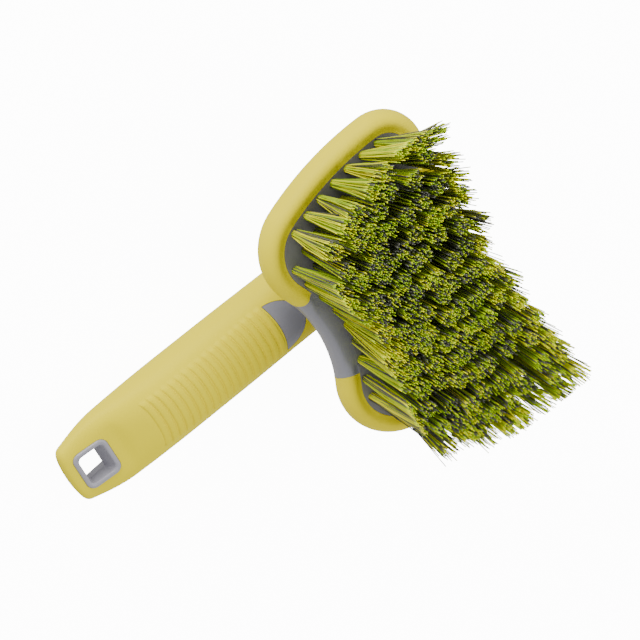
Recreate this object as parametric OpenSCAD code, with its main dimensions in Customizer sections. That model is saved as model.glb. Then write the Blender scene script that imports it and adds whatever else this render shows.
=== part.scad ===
// Hand-held scrubbing brush: a grey moulded core with a soft overmoulded grip,
// a soft bumper round a flared head, and rows of drilled-and-filled tufts.
// The brush lies on its back: +Z is the way the bristles point, +Y runs from
// the tail of the handle to the front of the head, and X is the width.
// The head's own datum is the point between the lobes and the front corners.

/* [Head outline] */
// Width across the two front corners
head_front_w = 140; // [120:1:180]
// Width across the two rear lobes
head_lobe_w = 125; // [110:1:150]
// Distance from the head's datum back to the lobe centres
lobe_back = 25.2; // [16:0.2:30]
// Distance from the head's datum forward to the corner centres
corner_fwd = 17.9; // [12:0.2:30]
// Radius of each rear lobe
lobe_r = 27; // [20:1:34]
// Radius of each front corner
corner_r = 19.5; // [14:0.5:28]
// Radius of the bulge along each side
side_r = 105; // [80:5:300]
// Radius of the concave rear edge between the lobes
rear_r = 62; // [45:1:90]
// Radius of the slightly hollow front edge
front_r = 400; // [250:10:900]

/* [Rim and bumper] */
// Height of the tuft face above the ground when the brush lies on its back
face_z = 58; // [50:1:70]
// Depth of the rounded rim below the tuft face
rim_t = 13.6; // [12:0.2:24]
// Width of the rim's face from its outer edge to the tuft face
band_w = 8.5; // [6:0.5:11]
// Height of the rim's crown above the tuft face
crown_h = 1.6; // [0.6:0.1:3]
// Distance of the crown in from the outer edge
crown_in = 4.6; // [3:0.1:6]
// Depth of the widest line of the rim below the tuft face
widest_z = 6; // [4:0.5:11]
// Distance of the rim's lower lip in from the outer edge
lip_in = 5; // [3:0.5:9]
// Thickness of the soft bumper
bumper_t = 3.6; // [2:0.1:5]
// Half width of the bare core section in the middle of the rear edge
bare_half = 21.2; // [14:0.2:28]

/* [Handle] */
// Distance from the head's datum to the end of the tail
tail_back = 163; // [145:1:185]
// Distance from the head's datum to the end of the soft grip under the head
neck_back = 33; // [30:1:40]
// Half width of the grip where the palm closes on it
grip_half_w = 18; // [15:0.1:22]
// Half thickness of the grip where the palm closes on it
grip_half_t = 14; // [11:0.1:17]
// Half width of the tail end
tail_half_w = 14.2; // [12:0.1:17]
// Half thickness of the tail end
tail_half_t = 4.6; // [4:0.1:7]
// Length over which the tail widens to the grip
tail_flare_l = 26; // [18:1:40]
// Length over which the tail thickens to the grip
tail_taper_l = 62; // [45:1:80]
// Radius that rounds the edge of the tail end
tail_round = 3.4; // [2:0.1:4]
// How far the tail end bulges in plan
tail_bow = 2.6; // [0:0.1:5]
// Thickness of the soft grip over the core
skin_t = 3; // [2:0.1:4]
// How much further forward the soft grip runs under the head than above the handle
under_run = 30; // [15:1:40]
// How much the rounded back of the handle is cut flat
flat_cut = 0.6; // [0.3:0.1:1]

/* [Ribbed pad] */
// Distance from the head's datum to the front end of the ribs
rib_front_back = 54; // [50:1:60]
// Length of the ribbed pad along the handle
rib_l = 67.5; // [50:0.5:80]
// Number of ribs
rib_count = 18; // [8:1:20]
// Share of the quarter turn from top to side that the pad covers at its head end
rib_arc = 0.47; // [0.35:0.01:0.6]
// Share of the quarter turn that it covers at its tail end
rib_arc_tail = 0.4; // [0.3:0.01:0.6]
// Height of the pad above the smooth grip
rib_h = 0.8; // [0.3:0.1:1.5]
// Depth of the grooves between ribs
groove_d = 0.9; // [0.4:0.1:1.6]
// How far each groove bows towards the head
rib_bow = 1.6; // [0:0.1:3]

/* [Finger rest] */
// Half width of the bare rest where it meets the ribbed pad
rest_half_w = 12.2; // [8:0.2:14]
// Length of the bare rest from the ribbed pad towards the head
rest_l = 13; // [10:0.2:18]

/* [Hanging eyelet] */
// Distance from the tail end to the eyelet's centre
eyelet_in = 13.4; // [12:0.2:18]
// Outside width of the eyelet's ring
eyelet_w = 18.6; // [15:0.2:21]
// Outside length of the eyelet's ring
eyelet_l = 17.2; // [14:0.2:20]
// Width of the ring's wall at its mouth
eyelet_wall = 2.3; // [1.5:0.1:3.5]
// Draft taken in from each mouth to the throat
eyelet_draft = 1.1; // [0.4:0.1:2]
// Height of the ring above the soft grip
eyelet_lip = 0.7; // [0.2:0.1:1.5]
// Corner radius of the ring
eyelet_r = 3.6; // [2:0.1:5]

/* [Tufts] */
// Distance of the outer tufts in from the head's outer edge
tuft_inset = 12.2; // [11:0.1:15]
// Number of rows from the rear edge to the front edge
tuft_rows = 9; // [6:1:10]
// Spacing of tufts along a row
tuft_pitch = 8.7; // [8:0.1:11]
// Length of the bristles above the tuft face
bristle_l = 42; // [30:0.5:55]
// Width of one strand
strand_w = 1.6; // [0.8:0.1:1.7]
// Share of its own cell that a strand keeps at its root
root_gather = 0.5; // [0.45:0.01:0.6]
// Sideways flare of the tips, as a share of the distance from the middle
flare_x = 0.205; // [0:0.005:0.25]
// Lengthwise flare of the tips, as a share of the distance from the datum
flare_y = 0.085; // [0:0.005:0.2]
// Extra forward flare of the tips at the front corners
flare_corner = 10; // [0:0.5:12]
// Depth of the block's face that each row's slice takes
slice_t = 4; // [3:0.5:6]

/* [Fits] */
// Clearance between the core and each soft moulding
fit_gap = 0.1; // [0.05:0.05:0.3]
// Clearance between the slices of neighbouring rows
slice_gap = 0.12; // [0.05:0.01:0.3]

/* [Hidden] */

grey = [0.52, 0.52, 0.56];
pale_grey = [0.66, 0.65, 0.68];
lemon = [0.93, 0.87, 0.36];
lime = [0.55, 0.66, 0.14];

// ---- Small helpers ----
function mix(a, b, t) = a + (b - a) * t;
function ease(t) = let (k = min(1, max(0, t))) k * k * (3 - 2 * k);
function slow_end(t) = sin(90 * min(1, max(0, t)));
function ang(v) = atan2(v.y, v.x);
function sum(l) = [for (v = l) 1] * l;
function mean(l) = sum(l) / len(l);
function cut_last(l) = [for (i = [0:len(l) - 2]) l[i]];
function bezier(p, c, d, q, t) =
  pow(1 - t, 3) * p + 3 * t * pow(1 - t, 2) * c + 3 * t * t * (1 - t) * d + pow(t, 3) * q;

// The left-hand meeting point of two circles, seen along the line from the first to the second
function circle_meet(p, rp, q, rq) =
  let (d = norm(q - p), a = (rp * rp - rq * rq + d * d) / (2 * d), h = sqrt(rp * rp - a * a),
       u = (q - p) / d)
  p + u * a + [-u.y, u.x] * h;

// A closed surface given as separate triangles; those that have closed up to a line are left out
least_area = 1e-5;
function live(tris) = [for (t = tris) if (norm(cross(t[1] - t[0], t[2] - t[0])) > least_area) t];
module surface_of(tris) {
  kept = live(tris);
  polyhedron(points = [for (t = kept) each t],
    faces = [for (i = [0:len(kept) - 1]) [3 * i, 3 * i + 1, 3 * i + 2]]);
}
function quad(a, b, c, d) = [[a, b, c], [a, c, d]];

// Triangles of a skin over closed rings of equal length
function skin_tris(rings) = let (n = len(rings[0])) [
  for (r = [0:len(rings) - 2]) for (i = [0:n - 1]) let (j = (i + 1) % n)
    each quad(rings[r][i], rings[r][j], rings[r + 1][j], rings[r + 1][i])
];
// Fans that close the first and the last ring
function first_cap(ring) = let (m = mean(ring), n = len(ring))
  [for (i = [0:n - 1]) [m, ring[(i + 1) % n], ring[i]]];
function last_cap(ring) = let (m = mean(ring), n = len(ring))
  [for (i = [0:n - 1]) [m, ring[i], ring[(i + 1) % n]]];
module capped_skin(rings) {
  surface_of(concat(first_cap(rings[0]), skin_tris(rings), last_cap(rings[len(rings) - 1])));
}
function backwards(l) = [for (i = [len(l) - 1:-1:0]) l[i]];

// ---- Head outline: six tangent arcs from the middle of the rear edge to the front ----
lobe_c = [head_lobe_w / 2 - lobe_r, -lobe_back];
corner_c = [head_front_w / 2 - corner_r, corner_fwd];
rear_c = [0, lobe_c.y - sqrt(pow(rear_r + lobe_r, 2) - pow(lobe_c.x, 2))];
front_c = [0, corner_c.y + sqrt(pow(front_r + corner_r, 2) - pow(corner_c.x, 2))];
side_c = circle_meet(lobe_c, side_r - lobe_r, corner_c, side_r - corner_r);

bare_a = acos(bare_half / rear_r);
rear_a = ang(lobe_c - rear_c);
lobe_a = ang(lobe_c - side_c);
corner_a = ang(corner_c - side_c);
front_a = ang(corner_c - front_c);

// One arc as points with outward normals; a hollow arc is seen from its own centre
function arc(c, r, a0, a1, n, hollow = false) = [
  for (i = [0:n]) let (a = mix(a0, a1, i / n), s = hollow ? -1 : 1)
    [c.x + r * cos(a), c.y + r * sin(a), s * cos(a), s * sin(a)]
];
bare_steps = 3;
half_rim = concat(
  cut_last(arc(rear_c, rear_r, 90, bare_a, bare_steps, true)),
  cut_last(arc(rear_c, rear_r, bare_a, rear_a, 3, true)),
  cut_last(arc(lobe_c, lobe_r, rear_a - 180, lobe_a, 10)),
  cut_last(arc(side_c, side_r, lobe_a, corner_a, 5)),
  cut_last(arc(corner_c, corner_r, corner_a, front_a + 180, 8)),
  arc(front_c, front_r, front_a, -90, 4, true)
);
function mirrored(l) = [for (i = [len(l) - 1:-1:0]) [-l[i][0], l[i][1], -l[i][2], l[i][3]]];
function part_of(l, a, b) = [for (i = [a:b]) l[i]];
// The bare stretch of the rear edge, left to right, then the bumper's stretch round the front
bare_path = concat(mirrored(part_of(half_rim, 1, bare_steps)), part_of(half_rim, 0, bare_steps));
bumper_path = concat(part_of(half_rim, bare_steps, len(half_rim) - 1),
  mirrored(part_of(half_rim, bare_steps, len(half_rim) - 2)));
rim_path = concat(bare_path, bumper_path);
function is_bare(i) = i < len(bare_path);

// The outline set in by f: half width at y, and its rear and front edges at x
function circle_at(r, d) = sqrt(max(0, r * r - d * d));
function edge_side(y, f) =
  y < side_c.y + (side_r - f) * sin(lobe_a) ? lobe_c.x + circle_at(lobe_r - f, y - lobe_c.y)
  : y < side_c.y + (side_r - f) * sin(corner_a) ? side_c.x + circle_at(side_r - f, y - side_c.y)
  : corner_c.x + circle_at(corner_r - f, y - corner_c.y);
function edge_rear(x, f) =
  abs(x) < (rear_r + f) * cos(rear_a) ? rear_c.y + circle_at(rear_r + f, x)
  : lobe_c.y - circle_at(lobe_r - f, abs(x) - lobe_c.x);
function edge_front(x, f) =
  abs(x) < (front_r + f) * cos(front_a) ? front_c.y - circle_at(front_r + f, x)
  : corner_c.y + circle_at(corner_r - f, abs(x) - corner_c.x);

// ---- Rim profile, as [distance in, height], from the tuft face to the lower lip ----
lip_a = 75;
rim_profile = concat(
  [for (i = [0:1]) let (t = i / 2) [mix(band_w, crown_in, t), crown_h * (1 - cos(180 * t)) / 2]],
  [for (i = [0:3]) let (a = 90 * i / 4)
    [crown_in * (1 - sin(a)), -widest_z + (widest_z + crown_h) * cos(a)]],
  [for (i = [0:4]) let (a = lip_a * i / 4)
    [lip_in * (1 - cos(a)) / (1 - cos(lip_a)),
     -widest_z - (rim_t - widest_z) * sin(a) / sin(lip_a)]]
);
rim_n = len(rim_profile);
foot = rim_profile[rim_n - 1];
// The bumper's inner corners; the core's seat under it passes through the same ones
seat_in = [band_w, -slice_t];
seat_out = [bumper_t + 1, -slice_t];
seat_wall = [bumper_t, -widest_z];
// The seat with as many points as the rim's profile, so that one skin covers both
function seat_at(t) = t < 0.3 ? mix(seat_in, seat_out, t / 0.3)
  : t < 0.6 ? mix(seat_out, seat_wall, (t - 0.3) / 0.3) : mix(seat_wall, foot, (t - 0.6) / 0.4);
function seat_pt(i) = let (p = seat_at(i / (rim_n - 1))) i == rim_n - 1 ? p : p + [fit_gap, -fit_gap];

function rim_pt(e, p) = [e[0] - e[2] * p[0], e[1] - e[3] * p[0], face_z + p[1]];

// ---- Handle sections ----
function from_tail(back) = tail_back - back;
function half_w(back) = mix(tail_half_w, grip_half_w, slow_end(from_tail(back) / tail_flare_l));
function half_t(back) = mix(tail_half_t, grip_half_t, ease(from_tail(back) / tail_taper_l));
mid_z = grip_half_t - flat_cut;
// A section is a squared ellipse: this power is 2 for a plain ellipse and more for a squarer one
grip_power = 2.25;
tail_power = 3.4;
function power_at(back) = mix(tail_power, grip_power, ease(from_tail(back) / tail_taper_l));
function squared(v, n) = sign(v) * pow(abs(v), 2 / n);

// Directions round a section: the top, the right side, the bottom and the left side
rib_tail_back = rib_front_back + rib_l;
function pad_a(back) =
  90 * mix(rib_arc_tail, rib_arc, min(1, max(0, (rib_tail_back - back) / rib_l)));
pad_cols = [-1.12, -1, -0.75, -0.5, -0.25, 0, 0.25, 0.5, 0.75, 1, 1.12];
round_cols = 14;
pad_foot = max(pad_cols);
function section_a(back) = let (p = pad_a(back)) concat([for (c = pad_cols) c * p],
  [for (i = [1:round_cols]) mix(pad_foot * p, 360 - pad_foot * p, i / (round_cols + 1))]);
function on_pad(back, a) = abs(a) <= pad_a(back) + 0.01;

// A point of the handle's surface at direction a, set in by d; lift raises the pad, and bow
// and under move the point towards the head
function handle_pt(back, a, d = 0, lift = 0, bow = 0, under = 0) =
  let (n = power_at(back), s = squared(sin(a), n), c = squared(cos(a), n), k = on_pad(back, a) ? 1 : 0)
  [(half_w(back) - d + k * lift * abs(s)) * s,
   -back + k * bow * (1 - pow(a / pad_a(back), 2)) + under * (1 - cos(a)) / 2
     + tail_bow * s * s * ease(1 - from_tail(back) / tail_flare_l),
   max(d, mid_z + (half_t(back) - d + k * lift) * c)];
function handle_ring(back, d = 0, lift = 0, bow = 0, under = 0) =
  [for (a = section_a(back)) handle_pt(back, a, d, lift, bow, under)];

// Stations of the ribbed pad: a slope up, a land, a slope down and a groove for each rib
rib_pitch = rib_l / rib_count;
rib_shape = [[0, 0], [0.1, 1], [0.76, 1], [0.88, 0]];
rib_rings = concat(
  [for (r = [0:rib_count - 1]) for (s = rib_shape)
    handle_ring(rib_tail_back - (r + s[0]) * rib_pitch, 0, rib_h - groove_d * (1 - s[1]), rib_bow)],
  [handle_ring(rib_front_back, 0, rib_h - groove_d, rib_bow)]
);
// Stations of the rounded tail end, the plain tail and the plain neck
round_steps = 3;
tail_rings = concat(
  [[for (a = section_a(tail_back)) [0, -tail_back, mid_z]]],
  [for (i = [0:round_steps]) let (a = 90 * i / round_steps)
    handle_ring(tail_back - tail_round * (1 - cos(a)), tail_round * (1 - sin(a)))]
);
plain_steps = 7;
pad_margin = 0.6;
plain_rings = [for (i = [1:plain_steps])
  handle_ring(mix(tail_back - tail_round, rib_tail_back + pad_margin, i / plain_steps))];
neck_steps = 5;
neck_start = rib_front_back - pad_margin - rib_bow;
neck_rings = [for (i = [0:neck_steps])
  handle_ring(mix(neck_start, neck_back, i / neck_steps), under = under_run * i / neck_steps)];
outer_rings = concat(tail_rings, plain_rings, rib_rings, neck_rings);

// The cavity of the soft grip and the core's spine inside it, from the eyelet's root to the neck
spine_back = tail_back - eyelet_in - eyelet_l / 2 - skin_t;
spine_steps = 8;
function under_at(back) = under_run * max(0, (neck_start - back) / (neck_start - neck_back));
function spine_rings(d) = [for (i = [0:spine_steps]) let (b = mix(spine_back, neck_back, i / spine_steps))
  handle_ring(b, d, under = under_at(b))];

// ---- Core ----
// The lip of the head flows into the neck: each point of the lip has its own curve to the neck's end
neck_rings_n = 8;
head_mid = [0, -lobe_back / 4];
function round_a(e) = atan2(e[0], head_mid.y - e[1]);
shoulder_drop = 5;
shoulder_rear = 17;
shoulder_front = 17;
throat_top = 15;
throat_under = 13;
function neck_curve(e, t) = let (
    a = round_a(e), w = (1 - cos(a)) / 2, p = rim_pt(e, foot),
    q = handle_pt(neck_back, a, 0, 0, 0, under_run),
    out = mix(shoulder_rear, shoulder_front, w), run = mix(throat_top, throat_under, w))
  bezier(p, p - [e[2] * out, e[3] * out, shoulder_drop], q + [0, run, 0], q, t);
core_rings = concat(
  [[for (e = rim_path) rim_pt(e, seat_in)]],
  [for (i = [0:rim_n - 1])
    [for (k = [0:len(rim_path) - 1]) rim_pt(rim_path[k], is_bare(k) ? rim_profile[i] : seat_pt(i))]],
  [for (i = [1:neck_rings_n]) [for (e = rim_path) neck_curve(e, i / neck_rings_n)]]
);

// The bare finger rest: half an oval, closed by the bowed end of the ribbed pad
pad_end_r = (pow(rest_half_w, 2) / rib_bow + rib_bow) / 2;
module rest_column(grow) {
  translate([0, -rib_front_back, mid_z]) linear_extrude(2 * grip_half_t) difference() {
    scale([1, (rest_l + rib_bow + grow) / (rest_half_w + grow)]) circle(rest_half_w + grow, $fn = 48);
    translate([0, rib_bow + pad_margin - pad_end_r]) circle(pad_end_r - grow, $fn = 96);
  }
}
rest_rings = concat([handle_ring(rib_front_back + skin_t)], neck_rings);
module finger_rest() {
  intersection() {
    capped_skin(backwards(rest_rings));
    rest_column(0);
  }
}

module core_moulding() {
  color(grey) {
    capped_skin(core_rings);
    capped_skin(backwards(spine_rings(skin_t + fit_gap)));
    finger_rest();
  }
}

// ---- Hanging eyelet ----
module rounded_block(w, l, r, z0, z1) {
  translate([0, 0, z0]) linear_extrude(z1 - z0) {
    square([w - 2 * r, l], center = true);
    square([w, l - 2 * r], center = true);
    for (x = [-1, 1]) for (y = [-1, 1])
      translate([x * (w / 2 - r), y * (l / 2 - r)]) circle(r, $fn = 32);
  }
}
eyelet_back = tail_back - eyelet_in;
// Half thickness of the eyelet at its tail edge and at its head edge: it follows the tail's taper
eyelet_t = [for (k = [1, -1]) half_t(eyelet_back + k * eyelet_l / 2) + eyelet_lip];
module eyelet_wedge() {
  rotate([90, 0, 90]) linear_extrude(eyelet_w, center = true) polygon([
    [-eyelet_l / 2, mid_z - eyelet_t[0]], [eyelet_l / 2, mid_z - eyelet_t[1]],
    [eyelet_l / 2, mid_z + eyelet_t[1]], [-eyelet_l / 2, mid_z + eyelet_t[0]]
  ]);
}
function square_ring(w, l, z) = [[-w, -l, z], [w, -l, z], [w, l, z], [-w, l, z]];
module eyelet_passage() {
  w = eyelet_w / 2 - eyelet_wall;
  l = eyelet_l / 2 - eyelet_wall;
  slope = eyelet_draft / eyelet_t[0];
  reach = eyelet_t[1] + 1;
  capped_skin(backwards([
    square_ring(w + slope * (reach - eyelet_t[0]), l + slope * (reach - eyelet_t[0]), mid_z - reach),
    square_ring(w - eyelet_draft, l - eyelet_draft, mid_z),
    square_ring(w + slope * (reach - eyelet_t[0]), l + slope * (reach - eyelet_t[0]), mid_z + reach)
  ]));
}
module hang_eyelet() {
  color(pale_grey) translate([0, -eyelet_back, 0]) difference() {
    intersection() {
      rounded_block(eyelet_w, eyelet_l, eyelet_r, mid_z - eyelet_t[1], mid_z + eyelet_t[1]);
      eyelet_wedge();
    }
    eyelet_passage();
  }
}

// ---- Soft grip ----
module grip_sleeve() {
  color(lemon) difference() {
    capped_skin(concat(spine_rings(skin_t), backwards(outer_rings)));
    rest_column(fit_gap);
    translate([0, -eyelet_back, 0])
      rounded_block(eyelet_w + 2 * fit_gap, eyelet_l + 2 * fit_gap, eyelet_r + fit_gap, -1, 2 * mid_z);
  }
}

// ---- Soft bumper ----
bumper_section = concat(rim_profile, [seat_wall, seat_out, seat_in]);
module head_bumper() {
  rings = [for (e = bumper_path) [for (p = bumper_section) rim_pt(e, p)]];
  n = len(bumper_section);
  m = len(rings);
  color(lemon) polyhedron(
    points = [for (r = rings) each r],
    faces = concat(
      [[for (i = [0:n - 1]) i], [for (i = [n - 1:-1:0]) (m - 1) * n + i]],
      [for (r = [0:m - 2]) for (i = [0:n - 1]) let (j = (i + 1) % n)
        each [[r * n + i, (r + 1) * n + i, r * n + j], [r * n + j, (r + 1) * n + i, (r + 1) * n + j]]]
    ));
}

// ---- Tufts ----
// Row lines run from the rear edge to the front edge; each bends smoothly towards its ends
rear_mid = [rear_c.y + rear_r + tuft_inset, lobe_c.y - lobe_r + tuft_inset];
front_mid = [front_c.y - front_r - tuft_inset, corner_c.y + corner_r - tuft_inset];
bend_x = lobe_c.x * 1.15;
function row_y(t, x) = let (b = (1 - cos(180 * min(abs(x), bend_x) / bend_x)) / 2)
  mix(mix(rear_mid[0], rear_mid[1], b), mix(front_mid[0], front_mid[1], b), t);
function row_half(t, f) = edge_side(mix(rear_mid[1], front_mid[1], t), f);
function row_t(r) = r / (tuft_rows - 1);
function row_count(r) = round(2 * row_half(row_t(r), tuft_inset) / tuft_pitch) + 1;

slice_in = band_w + fit_gap;
corner_turn = 45;
// A point of row r's slice on its rear (k = 0), middle (1) or front (2) line; v runs from -1 to 1
function slice_pt(r, k, v) =
  k == 0 && r == 0 ? let (x = v * (lobe_c.x + (lobe_r - slice_in) * cos(corner_turn)))
    [x, edge_rear(x, slice_in)]
  : k == 2 && r == tuft_rows - 1
    ? let (x = v * (corner_c.x + (corner_r - slice_in) * cos(corner_turn))) [x, edge_front(x, slice_in)]
  : let (t = row_t(r + (k - 1) / 2), x = v * row_half(t, slice_in))
    [x, row_y(t, x) - (k - 1) * slice_gap / 2];
// Column lines of a slice: its ends, the tufts and the middles between them
function slice_v(r, i) = let (
    n = row_count(r), k = row_half(row_t(r), tuft_inset) / row_half(row_t(r), slice_in))
  i == 0 ? -1 : i == 2 * n ? 1 : k * (i - n) / (n - 1);
function slice_top(r, i, k) = concat(slice_pt(r, k, slice_v(r, i)), [face_z]);
function slice_low(r, i, k) = concat(slice_pt(r, k, slice_v(r, i)), [face_z - slice_t + fit_gap]);

// Where the tip of a strand that starts at p ends up
function tip_of(p) = [p.x * (1 + flare_x),
  p.y * (1 + flare_y) + flare_corner * pow(p.x / corner_c.x, 2)
    * ease((p.y + corner_fwd / 2) / (2 * corner_fwd)),
  face_z + bristle_l];
// The part of a slice's top that one strand stands on
function cell(r, i, k) =
  [slice_top(r, i, k), slice_top(r, i + 1, k), slice_top(r, i + 1, k + 1), slice_top(r, i, k + 1)];
// A strand of three sides with its cell of the slice's top round its root
function tri_at(c, w) = [c + [-w / 2, -w / 3, 0], c + [w / 2, -w / 3, 0], c + [0, w / 2, 0]];
function strand(r, j, i, k) = let (
    q = cell(r, i, k), root = slice_top(r, 2 * j + 1, 1), c = mean(q),
    a = tri_at(mix(root, c, root_gather), strand_w), b = tri_at(tip_of(c), strand_w))
  concat(
    [[q[0], q[1], a[1]], [q[0], a[1], a[0]], [q[1], q[2], a[1]], [q[2], a[2], a[1]],
     [q[2], q[3], a[2]], [q[3], a[0], a[2]], [q[3], q[0], a[0]], [b[0], b[1], b[2]]],
    [for (s = [0:2]) each quad(a[s], a[(s + 1) % 3], b[(s + 1) % 3], b[s])]
  );
function reversed(tris) = [for (t = tris) [t[0], t[2], t[1]]];
module tuft_row(r) {
  n = row_count(r);
  ends = [0, 2 * n];
  color(lime) surface_of(reversed(concat(
    [for (j = [0:n - 1]) for (i = [2 * j, 2 * j + 1]) for (k = [0, 1]) each strand(r, j, i, k)],
    [for (i = [0:2 * n - 1]) for (k = [0, 1]) each quad(slice_low(r, i, k), slice_low(r, i, k + 1),
      slice_low(r, i + 1, k + 1), slice_low(r, i + 1, k))],
    [for (i = [0:2 * n - 1]) each quad(slice_low(r, i, 0), slice_low(r, i + 1, 0),
      slice_top(r, i + 1, 0), slice_top(r, i, 0))],
    [for (i = [0:2 * n - 1]) each quad(slice_low(r, i + 1, 2), slice_low(r, i, 2),
      slice_top(r, i, 2), slice_top(r, i + 1, 2))],
    [for (k = [0, 1]) each quad(slice_low(r, 0, k + 1), slice_low(r, 0, k),
      slice_top(r, 0, k), slice_top(r, 0, k + 1))],
    [for (k = [0, 1]) each quad(slice_low(r, 2 * n, k), slice_low(r, 2 * n, k + 1),
      slice_top(r, 2 * n, k + 1), slice_top(r, 2 * n, k))]
  )));
}

// The part's origin is under the middle of its whole length, tail to front tips
last_row = tuft_rows - 1;
front_reach = strand_w / 2 + max([for (i = [0:2 * row_count(last_row) - 1])
  tip_of(mean(cell(last_row, i, 1))).y]);
module place() {
  translate([0, (tail_back - front_reach) / 2, 0]) children();
}

place() core_moulding();
place() grip_sleeve();
place() head_bumper();
place() hang_eyelet();
place() tuft_row(0);  // tuft_row_1
place() tuft_row(1);  // tuft_row_2
place() tuft_row(2);  // tuft_row_3
place() tuft_row(3);  // tuft_row_4
place() tuft_row(4);  // tuft_row_5
place() tuft_row(5);  // tuft_row_6
place() tuft_row(6);  // tuft_row_7
place() tuft_row(7);  // tuft_row_8
place() tuft_row(8);  // tuft_row_9
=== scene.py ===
"""Dresses a hand-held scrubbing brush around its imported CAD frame.

Lengths inside the classes are millimetres, measured from the head's own datum; Place turns them into
metres of the row frame. +Z is the way the bristles point and +Y runs from the tail to the front.
"""
import logging
import math
import random
from dataclasses import dataclass, field
from enum import Enum

import bmesh
import bpy
import numpy as np
from mathutils import Matrix, Vector


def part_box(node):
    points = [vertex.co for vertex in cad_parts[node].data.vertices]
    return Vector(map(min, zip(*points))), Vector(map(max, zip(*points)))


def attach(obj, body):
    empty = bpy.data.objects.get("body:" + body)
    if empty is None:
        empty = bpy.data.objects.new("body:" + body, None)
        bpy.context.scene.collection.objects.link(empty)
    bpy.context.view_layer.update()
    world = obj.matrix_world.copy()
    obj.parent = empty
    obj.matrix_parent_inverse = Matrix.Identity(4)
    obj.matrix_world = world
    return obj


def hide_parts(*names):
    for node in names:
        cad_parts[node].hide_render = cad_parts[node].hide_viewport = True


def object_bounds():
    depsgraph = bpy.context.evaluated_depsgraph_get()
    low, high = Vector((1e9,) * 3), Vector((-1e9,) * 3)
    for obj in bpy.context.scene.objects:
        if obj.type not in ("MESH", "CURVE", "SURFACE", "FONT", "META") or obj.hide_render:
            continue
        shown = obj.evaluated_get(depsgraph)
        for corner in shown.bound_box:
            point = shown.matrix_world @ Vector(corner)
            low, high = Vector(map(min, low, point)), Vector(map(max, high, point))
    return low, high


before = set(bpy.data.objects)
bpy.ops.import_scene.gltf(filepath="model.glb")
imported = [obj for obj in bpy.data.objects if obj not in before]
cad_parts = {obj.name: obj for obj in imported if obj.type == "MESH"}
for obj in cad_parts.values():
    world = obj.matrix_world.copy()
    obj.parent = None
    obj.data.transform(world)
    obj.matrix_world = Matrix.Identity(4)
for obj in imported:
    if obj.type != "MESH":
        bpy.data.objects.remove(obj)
CAD_BOX = [list(corner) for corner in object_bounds()]
LOG = logging.getLogger("brush")
MM = 0.001
WELD = 1e-7  # points closer than this, in metres, are one point
FAR_OVER = 20  # past this many blends over the facet, a height is simply the facet's
Point = tuple[float, float, float]
Ring = list[Point]


def mix(a: float, b: float, t: float) -> float:
    """Returns the value a share t of the way from a to b."""
    return a + (b - a) * t


def ease(t: float) -> float:
    """Returns a smooth step from 0 to 1 as t goes from 0 to 1."""
    k = min(1.0, max(0.0, t))
    return k * k * (3 - 2 * k)


class Axis(Enum):
    """Which way a texture's grain runs."""

    EVEN = (1.0, 1.0, 1.0)
    ALONG_HANDLE = (1.0, 0.12, 1.0)


# ---------------------------------------------------------------- shader expressions


class Expr:
    """A shader socket that takes part in Python expressions."""

    def __init__(self, shade: "Shade", socket: bpy.types.NodeSocket) -> None:
        """Keeps the node tree's builder and the socket that holds the value."""
        self.shade = shade
        self.socket = socket

    def _math(self, operation: str, *values: "Expr | float") -> "Expr":
        """Returns the Math node's result for an operation on the values, in order."""
        return self.shade.node("ShaderNodeMath", {"operation": operation}, dict(enumerate(values)))

    def __add__(self, other: "Expr | float") -> "Expr":
        """Returns self + other."""
        return self._math("ADD", self, other)

    def __radd__(self, other: float) -> "Expr":
        """Returns other + self."""
        return self._math("ADD", other, self)

    def __sub__(self, other: "Expr | float") -> "Expr":
        """Returns self - other."""
        return self._math("SUBTRACT", self, other)

    def __rsub__(self, other: float) -> "Expr":
        """Returns other - self."""
        return self._math("SUBTRACT", other, self)

    def __mul__(self, other: "Expr | float") -> "Expr":
        """Returns self * other."""
        return self._math("MULTIPLY", self, other)

    def __rmul__(self, other: float) -> "Expr":
        """Returns other * self."""
        return self._math("MULTIPLY", other, self)

    def __truediv__(self, other: "Expr | float") -> "Expr":
        """Returns self / other."""
        return self._math("DIVIDE", self, other)

    def power(self, other: float) -> "Expr":
        """Returns self to the power other."""
        return self._math("POWER", self, other)

    def clamp(self) -> "Expr":
        """Returns self held between 0 and 1."""
        return self.shade.node("ShaderNodeClamp", {}, {0: self})


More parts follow.
